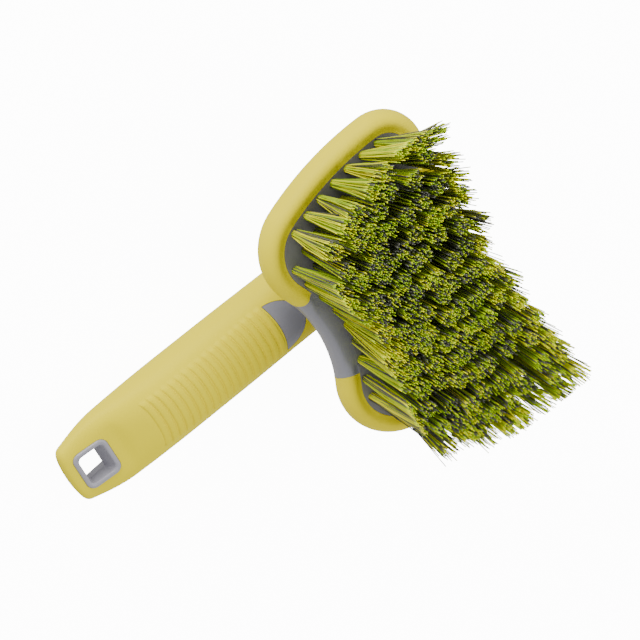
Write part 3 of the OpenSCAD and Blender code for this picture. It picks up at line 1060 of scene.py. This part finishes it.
@dataclass
class Head:
    """The grey core of the head and the soft bumper round it."""

    place: Place
    outline: HeadOutline
    rim: RimProfile
    form: HandleForm
    shoulder_drop: float = 5.0
    shoulder_rear: float = 17.0
    shoulder_front: float = 17.0
    throat_top: float = 15.0
    throat_under: float = 13.0
    neck_rings: int = 36
    pole_share: float = 0.25
    seat_marks: tuple = (0.0, 0.3, 0.6, 1.0)
    end_lean: float = 2.0
    sharp_angle: float = 50.0

    def neck_angle(self, e: EdgePoint) -> float:
        """Returns the direction round the handle in which a point of the outline runs down to it."""
        return math.atan2(e.x, -self.outline.lobe_back * self.pole_share - e.y)

    def neck_point(self, e: EdgePoint, t: float) -> Point:
        """Works out the flared neck, which is a bundle of curves.

        Args:
            e: The point of the outline where the curve starts.
            t: The share of the way from the rim's lip to the handle.

        Returns:
            The point in millimetres.
        """
        a = self.neck_angle(e)
        w = (1 - math.cos(a)) / 2
        p = np.array(self.rim.at(e, self.rim.outer()[-1]))
        q = np.array(self.form.point(self.form.neck_back, a, under=self.form.under_run))
        out = mix(self.shoulder_rear, self.shoulder_front, w)
        c = p - np.array([e.nx * out, e.ny * out, self.shoulder_drop])
        d = q + np.array([0, mix(self.throat_top, self.throat_under, w), 0])
        return tuple((1 - t) ** 3 * p + 3 * t * (1 - t) ** 2 * c + 3 * t * t * (1 - t) * d + t ** 3 * q)

    def seat_at(self, t: float) -> tuple[float, float]:
        """Walks the bumper's seat.

        Args:
            t: The share of the way from the tuft face to the lower lip.

        Returns:
            The profile's point there.
        """
        marks = self.seat_marks
        corners = [*reversed(self.rim.seat_line()), self.rim.outer()[-1]]
        k = max(i for i in range(len(marks) - 1) if t >= marks[i])
        s = (t - marks[k]) / (marks[k + 1] - marks[k])
        return tuple(mix(corners[k][j], corners[k + 1][j], s) for j in (0, 1))

    def build_core(self, plastic: bpy.types.Material) -> None:
        """Builds the core: rim, seat of the bumper and flared neck.

        Args:
            plastic: Its finish.
        """
        profile = self.rim.outer()
        bare = self.outline.bare_path()
        path = bare + self.outline.bumper_path()[1:-1]
        rings = [[self.rim.at(e, self.rim.seat_line()[-1]) for e in path]]
        bares = [self.rim.bare(min(1.0, abs(e.x) / self.outline.bare_half)) for e in bare]
        for i in range(len(profile)):
            under = self.seat_at(i / (len(profile) - 1))
            rings.append([self.rim.at(e, bares[k][i] if k < len(bare) else under)
                          for k, e in enumerate(path)])
        rings += [[self.neck_point(e, i / self.neck_rings) for e in path]
                  for i in range(1, self.neck_rings + 1)]
        form = self.form
        rings.append([form.point(form.neck_back, self.neck_angle(e), form.end_in, under=form.under_run)
                      for e in path])
        core = new_piece("core", *skin(rings), self.place, self.sharp_angle)
        fix_normals(core)
        dress(core, plastic, "core_grey", "core_moulding")

    def _slanted(self, q: Point, e: EdgePoint, way: int) -> Point:
        """Leans the bumper's end cut over the bare rim, most at its crown.

        Args:
            q: The point before it leans.
            e: The outline's point at the end.
            way: 1 at the first end and -1 at the last.

        Returns:
            The point in millimetres.
        """
        rise = (q[2] - self.rim.face_z + self.rim.widest) / (self.rim.widest + self.rim.crown_h)
        run = self.end_lean * max(0.0, rise) * way
        return q[0] + e.ny * run, q[1] - e.nx * run, q[2]

    def build_bumper(self, rubber: bpy.types.Material) -> None:
        """Builds the soft band, open over the bare stretch.

        Args:
            rubber: Its finish.
        """
        section = self.rim.outer() + self.rim.seat_line()
        path = self.outline.bumper_path()
        rings = [[self.rim.at(e, p) for p in section] for e in path]
        for end, e, way in ((0, path[0], 1), (-1, path[-1], -1)):
            rings[end] = [self._slanted(q, e, way) for q in rings[end]]
        bumper = new_piece("bumper", *skin(rings), self.place, self.sharp_angle)
        fix_normals(bumper)
        dress(bumper, rubber, "soft_yellow", "head_bumper")


# ---------------------------------------------------------------- tufts


@dataclass
class StrandMesh:
    """Collects filaments as one mesh."""

    points: list = field(default_factory=list)
    faces: list = field(default_factory=list)
    tints: list = field(default_factory=list)
    alongs: list = field(default_factory=list)
    sharp_angle: float = 50.0

    def add(self, rings: list[Ring], tint: float, levels: tuple) -> None:
        """Adds one filament, open at its root and closed at its tip.

        Args:
            rings: Its sections from the root to the tip.
            tint: Its colour number.
            levels: How far along it each section is, 0 to 1, or less where painted shade darkens the foot.
        """
        n, first = len(rings[0]), len(self.points)
        for ring, level in zip(rings, levels):
            self.points += ring
            self.alongs += [level] * n
        self.tints += [tint] * (n * len(rings))
        for k in range(len(rings) - 1):
            low = first + k * n
            self.faces += [(low + i, low + (i + 1) % n, low + n + (i + 1) % n, low + n + i)
                           for i in range(n)]
        self.faces.append(tuple(first + (len(rings) - 1) * n + i for i in range(n)))

    def piece(self, name: str, place: Place) -> bpy.types.Object:
        """Turns the filaments into an object.

        Args:
            name: The piece's name.
            place: Turns the points into the row frame.

        Returns:
            The object.
        """
        made = new_piece(name, self.points, self.faces, place, self.sharp_angle)
        for label, values in (("tint", self.tints), ("along", self.alongs)):
            made.data.attributes.new(label, "FLOAT", "POINT").data.foreach_set("value", values)
        return made


@dataclass
class TuftField:
    """Rows of drilled-and-filled tufts on the block's face."""

    place: Place
    outline: HeadOutline
    rim: RimProfile
    reach: tuple[float, float]
    # the rows
    counts: tuple = (9, 12, 13, 14, 14, 14, 14, 14, 13)
    inset: float = 11.4
    bend_share: float = 1.15
    # how the whole field splays, and where it is held in
    flare_x: float = 0.205
    flare_x_rear: float = 0.095
    flare_y: float = 0.04
    flare_y_rear: float = -0.03
    corner_ahead: float = 4.8
    corner_aside: float = 5.5
    margin: float = 0.35
    soft_edge: float = 2.0
    # how one tuft fans out of its hole
    per_tuft: int = 76
    root_r: float = 1.8
    root_sink: float = 1.2
    spread_r: float = 4.0
    spread_vary: tuple = (0.86, 1.1)
    edge_spread: float = 1.2
    stray_share: float = 0.10
    stray_spread: float = 1.4
    tuft_lean: float = 1.35
    jitter: float = 0.5
    # how long it stands once trimmed
    length: float = 42.0
    trim: float = 0.9
    tuft_short: float = 0.9
    short_limit: float = 2.5
    strand_short: float = 0.55
    # one filament
    filament_r: float = 0.225
    sides: int = 5
    levels: tuple = (0.0, 0.5, 0.93, 1.0)
    sway: float = 0.3
    # painted shade on the feet of filaments in inner tufts, and how far up them it reaches
    inner_foot_shade: float = 1.3
    foot_shade_reach: float = 1.25
    # colour numbers, which the filaments' finish turns into colours
    edge_gold: float = 0.4
    inner_gold: float = 0.14
    gold_vary: float = 0.15
    edge_dark: float = 0.27
    inner_dark: float = 0.43
    dark_vary: float = 0.07
    dark_limits: tuple = (0.1, 0.8)
    dark_span: float = 0.37
    green_from: float = 0.41
    green_span: float = 0.59
    green_power: float = 1.7
    green_base: float = 0.75
    gold_push: float = 0.35
    # the drilled face
    hole_r: float = 2.0
    hole_points: int = 20
    plate_t: float = 3.4
    plate_bevel: float = 0.22
    plate_gap: float = 0.35
    bevel_steps: int = 2
    sharp_angle: float = 50.0
    seed: int = 11
    draws: random.Random = field(init=False)

    def __post_init__(self) -> None:
        """Works out the first and last rows' lines and starts the random draws."""
        o = self.outline
        self.draws = random.Random(self.seed)
        self.rear = (o.rear_y + o.rear_r + self.inset, float(o.lobe[1]) - o.lobe_r + self.inset)
        self.front = (o.front_y - o.front_r - self.inset, float(o.corner[1]) + o.corner_r - self.inset)
        self.bend_x = float(o.lobe[0]) * self.bend_share

    def roots(self, row: int) -> list[tuple[float, float]]:
        """Sets out one row, which bows as the head's front and rear edges do.

        Args:
            row: The row's number, 0 at the rear.

        Returns:
            The centres of its tufts, from left to right.
        """
        t = row / (len(self.counts) - 1)
        half = self.outline.side_x(mix(self.rear[1], self.front[1], t), self.inset)
        count = self.counts[row]
        centres = []
        for i in range(count):
            x = half * (2 * i / (count - 1) - 1)
            b = (1 - math.cos(math.pi * min(abs(x), self.bend_x) / self.bend_x)) / 2
            centres.append((x, mix(mix(*self.rear, b), mix(*self.front, b), t)))
        return centres

    def tip(self, x: float, y: float) -> tuple[float, float]:
        """Splays the field: wider to the sides, and further at the front corners.

        Args:
            x: Where a tuft starts on the face.
            y: Where a tuft starts on the face.

        Returns:
            Where it ends in plan.
        """
        o = self.outline
        reach = (x / float(o.corner[0])) ** 2
        ahead = self.corner_ahead * reach * ease((y + o.corner_fwd / 2) / (2 * o.corner_fwd))
        aside = self.corner_aside * reach * ease((y - o.corner_fwd) / (o.corner_r - self.inset))
        side = mix(self.flare_x_rear, self.flare_x, ease((y + o.lobe_back) / (2 * o.lobe_back)))
        return (x * (1 + side) + math.copysign(aside, x),
                y * (1 + (self.flare_y if y > 0 else self.flare_y_rear)) + ahead)

    def held(self, x: float, y: float) -> tuple[float, float]:
        """Holds a tip softly inside the part's own outline in plan.

        Args:
            x: Where the tip would be.
            y: Where the tip would be.

        Returns:
            Where the tip is.
        """
        def hold(v: float, limit: float) -> float:
            """Bends a distance back where it comes near a limit.

            Args:
                v: The distance, on either side.
                limit: How far it may reach.

            Returns:
                The distance that is left.
            """
            over = abs(v) - (limit - self.soft_edge)
            if over <= 0:
                return v
            return math.copysign(limit - self.soft_edge * math.exp(-over / self.soft_edge), v)
        return hold(x, self.reach[0] - self.margin), hold(y, self.reach[1] - self.margin)

    def tint(self, shade: float, gold: float) -> float:
        """Draws one filament's colour number.

        Args:
            shade: The share of dark filaments in its tuft.
            gold: How far its tuft leans to yellow, 0 to 1.

        Returns:
            The colour number, 0 for the darkest and 1 for the yellowest.
        """
        if self.draws.random() < shade:
            return self.draws.uniform(0.0, self.dark_span)
        ripe = self.draws.random() ** self.green_power * (self.green_base + gold) + self.gold_push * gold
        return self.green_from + self.green_span * min(1.0, ripe)

    def strand(self, root: np.ndarray, end: np.ndarray, tint: float, depth: float,
               mesh: StrandMesh) -> None:
        """Adds one filament, nearly straight and cut square.

        Args:
            root: Where it leaves the block.
            end: Where it is cut.
            tint: Its colour number.
            depth: How much painted shade darkens its foot, 0 in the outer tufts.
            mesh: Takes its points and faces.
        """
        rnd = self.draws
        sway = np.array([rnd.gauss(0, self.sway), rnd.gauss(0, self.sway), 0.0])
        axis = (end - root) / np.linalg.norm(end - root)
        side = np.cross(axis, [0.0, 1.0, 0.0])
        side /= np.linalg.norm(side)
        other = np.cross(axis, side)
        turn = rnd.random()
        rings = []
        for k in self.levels:
            mid = root + (end - root) * k + sway * math.sin(math.pi * k)
            rings.append([tuple(mid + self.filament_r * (math.cos(w) * side + math.sin(w) * other))
                          for w in (2 * math.pi * (i + turn) / self.sides for i in range(self.sides))])
        # painted shade: near the foot the levels are lowered by depth, which the finish turns into a darker
        # colour
        mesh.add(rings, tint, [k - depth * max(0.0, 1 - self.foot_shade_reach * k) for k in self.levels])

    def build_row(self, row: int, material: bpy.types.Material) -> None:
        """Builds one row's filaments as one piece.

        Args:
            row: The row's number, 0 at the rear.
            material: The filaments' finish.
        """
        mesh = StrandMesh()
        golden = math.pi * (3 - math.sqrt(5))
        rnd = self.draws
        centres = self.roots(row)
        for number, (cx, cy) in enumerate(centres):
            tx, ty = self.tip(cx, cy)
            edge = row in (0, len(self.counts) - 1) or number in (0, len(centres) - 1)
            gold = rnd.gauss(self.edge_gold if edge else self.inner_gold, self.gold_vary)
            gold = min(1.0, max(0.0, gold))
            shade = rnd.gauss(self.edge_dark if edge else self.inner_dark, self.dark_vary)
            shade = min(self.dark_limits[1], max(self.dark_limits[0], shade))
            lean = rnd.gauss(0, self.tuft_lean), rnd.gauss(0, self.tuft_lean)
            short = min(self.tuft_short * self.short_limit, abs(rnd.gauss(0, self.tuft_short)))
            spread = self.spread_r * rnd.uniform(*self.spread_vary) * (self.edge_spread if edge else 1.0)
            # painted shade on the feet of filaments in inner tufts; the outer tufts get none
            depth = 0.0 if edge else self.inner_foot_shade
            for i in range(self.per_tuft):
                r, a = math.sqrt((i + 0.5) / self.per_tuft), i * golden
                u, v = r * math.cos(a), r * math.sin(a)
                wide = spread * (self.stray_spread if rnd.random() < self.stray_share else 1.0)
                root = np.array([cx + u * self.root_r, cy + v * self.root_r,
                                 self.rim.face_z - self.root_sink])
                x, y = self.held(tx + u * wide + lean[0] + rnd.gauss(0, self.jitter),
                                 ty + v * wide + lean[1] + rnd.gauss(0, self.jitter))
                z = self.rim.face_z + self.length - self.trim - short - abs(rnd.gauss(0, self.strand_short))
                self.strand(root, np.array([x, y, z]), self.tint(shade, gold), depth, mesh)
        piece = mesh.piece(f"filaments_{row + 1}", self.place)
        dress(piece, material, "bristle", f"tuft_row_{row + 1}")

    def build_plate(self, plastic: bpy.types.Material) -> None:
        """Builds the block's drilled face as a filled curve with a hole for every tuft.

        Args:
            plastic: Its finish.
        """
        curve = bpy.data.curves.new("block_face", "CURVE")
        curve.dimensions = "2D"
        curve.fill_mode = "BOTH"
        curve.extrude = self.plate_t / 2 * MM
        curve.bevel_depth = self.plate_bevel * MM
        curve.bevel_resolution = self.bevel_steps
        path = self.outline.bare_path() + self.outline.bumper_path()[1:-1]
        inset = self.rim.band + self.plate_gap
        self._spline(curve, [(e.x - e.nx * inset, e.y - e.ny * inset) for e in path])
        for row in range(len(self.counts)):
            for cx, cy in self.roots(row):
                turns = (2 * math.pi * i / self.hole_points for i in range(self.hole_points))
                self._spline(curve, [(cx + self.hole_r * math.cos(a), cy + self.hole_r * math.sin(a))
                                     for a in turns])
        shape = bpy.data.objects.new("plate_curve", curve)
        bpy.context.collection.objects.link(shape)
        graph = bpy.context.evaluated_depsgraph_get()
        mesh = bpy.data.meshes.new_from_object(shape.evaluated_get(graph))
        bpy.data.objects.remove(shape)
        middle = (self.rim.face_z - self.plate_t / 2 - self.plate_bevel) * MM
        mesh.transform(Matrix.Translation((0, self.place.datum_y, middle)))
        mesh.shade_smooth()
        mesh.set_sharp_from_angle(angle=math.radians(self.sharp_angle))
        plate = bpy.data.objects.new("block_face", mesh)
        bpy.context.collection.objects.link(plate)
        dress(plate, plastic, "core_grey", *[f"tuft_row_{i + 1}" for i in range(len(self.counts))])

    @staticmethod
    def _spline(curve: bpy.types.Curve, points: list[tuple[float, float]]) -> None:
        """Adds a closed line to a curve, in metres about the datum.

        Args:
            curve: The curve.
            points: The line's points in millimetres.
        """
        line = curve.splines.new("POLY")
        line.points.add(len(points) - 1)
        line.use_cyclic_u = True
        for target, (x, y) in zip(line.points, points):
            target.co = (x * MM, y * MM, 0.0, 1.0)


# ---------------------------------------------------------------- studio


@dataclass(frozen=True)
class Lamp:
    """A soft round lamp: its place as the view sees it in millimetres, width, power in watts and colour."""

    name: str
    at: Point
    size: float
    power: float
    tone: tuple


@dataclass
class Studio:
    """The floor, the soft lights and the camera."""

    place: Place
    right: tuple = (0.453191, 0.769228, 0.450450)
    up: tuple = (-0.743669, 0.604877, -0.284748)
    back: tuple = (-0.491504, -0.205941, 0.846176)
    slide_right: float = 11.47
    slide_up: float = 35.22
    distance: float = 1792.2
    lens: float = 231.32
    sensor: float = 36.0
    far_clip: float = 20.0
    sky: float = 0.95
    floor_glow: float = 12.0
    floor_half: float = 4000.0
    aim: Point = (0, -40, 40)
    lamps: tuple = (Lamp("key", (-500, 700, 700), 0.7, 15.0, (1.0, 0.99, 0.97)),
                    Lamp("fill", (800, -200, 700), 0.9, 6.0, (0.98, 0.99, 1.0)))

    def _from_view(self, x: float, y: float, z: float) -> Vector:
        """Turns a place as the view sees it into the row frame.

        Args:
            x: Millimetres to the right.
            y: Millimetres up.
            z: Millimetres towards the view.

        Returns:
            The point in metres.
        """
        axes = (self.right, self.up, self.back)
        p = [sum(axis[i] * k for axis, k in zip(axes, (x, y, z))) for i in range(3)]
        return Vector(self.place.point(tuple(p)))

    def camera(self) -> None:
        """Places the camera."""
        data = bpy.data.cameras.new("view")
        data.lens = self.lens
        data.sensor_width = self.sensor
        data.clip_end = self.far_clip
        made = bpy.data.objects.new("view", data)
        bpy.context.collection.objects.link(made)
        turn = Matrix((self.right, self.up, self.back)).transposed().to_4x4()
        place = self._from_view(-self.slide_right, -self.slide_up, self.distance)
        made.matrix_world = Matrix.Translation(place) @ turn
        bpy.context.scene.camera = made

    def light(self, lamp: Lamp) -> None:
        """Adds one lamp, pointed at the brush.

        Args:
            lamp: The lamp.
        """
        data = bpy.data.lights.new(lamp.name, "AREA")
        data.shape = "DISK"
        data.size = lamp.size
        data.energy = lamp.power
        data.color = lamp.tone
        made = bpy.data.objects.new(lamp.name, data)
        bpy.context.collection.objects.link(made)
        made.location = self._from_view(*lamp.at)
        ray = Vector(self.place.point(self.aim)) - made.location
        made.rotation_euler = ray.to_track_quat("-Z", "Y").to_euler()

    def build_floor(self) -> None:
        """Builds the glowing white floor. Only the view sees it: it lights nothing and casts no shadow."""
        shade = Shade("floor")
        shade.set("Base Color", (1.0, 1.0, 1.0))
        shade.set("Roughness", 1.0)
        shade.set("Emission Color", (1.0, 1.0, 1.0))
        shade.set("Emission Strength", self.floor_glow)
        r = self.floor_half
        corners = [(-r, -r, 0), (r, -r, 0), (r, r, 0), (-r, r, 0)]
        floor = new_piece("floor", corners, [(0, 1, 2, 3)], self.place)
        floor.data.materials.append(shade.material)
        floor.visible_diffuse = False
        floor.visible_glossy = False
        floor.visible_shadow = False

    def build(self) -> None:
        """Builds the studio."""
        world = bpy.data.worlds.new("studio")
        bpy.context.scene.world = world
        world.use_nodes = True
        backdrop = world.node_tree.nodes["Background"]
        backdrop.inputs["Color"].default_value = (1.0, 1.0, 1.0, 1.0)
        backdrop.inputs["Strength"].default_value = self.sky
        self.build_floor()
        for lamp in self.lamps:
            self.light(lamp)
        self.camera()


def main() -> None:
    """Builds the brush and its studio, in order."""
    logging.basicConfig(level=logging.INFO, format="%(message)s")
    form = HandleForm()
    place = Place(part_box("grip_sleeve")[0][1] + form.tail_back * MM)
    outline, rim = HeadOutline(), RimProfile()
    rubber = SoftRubber().build()
    core_grey = MouldedPlastic("core_grey", light=(0.232, 0.231, 0.262), dark=(0.190, 0.190, 0.218)).build()
    pale_grey = MouldedPlastic("eyelet_grey", light=(0.315, 0.306, 0.345),
                               dark=(0.262, 0.255, 0.292)).build()
    # a darker copy of the core's grey plastic for the drilled face: painted shade of the tufts over it
    block_shaded_grey = MouldedPlastic("block_shaded_grey", light=(0.175, 0.173, 0.170),
                                dark=(0.140, 0.138, 0.136)).build()
    bristle = Filament().build()
    eyelet = Eyelet(place, form)
    SoftGrip(place, form).build(rubber, core_grey, eyelet)
    eyelet.build(pale_grey)
    head = Head(place, outline, rim, form)
    head.build_core(core_grey)
    head.build_bumper(rubber)
    reach = CAD_BOX[1][0] / MM, (CAD_BOX[1][1] - place.datum_y) / MM
    tufts = TuftField(place, outline, rim, reach)
    tufts.build_plate(block_shaded_grey)
    for row in range(len(tufts.counts)):
        tufts.build_row(row, bristle)
    Studio(place).build()


if __name__ == "__main__":
    main()
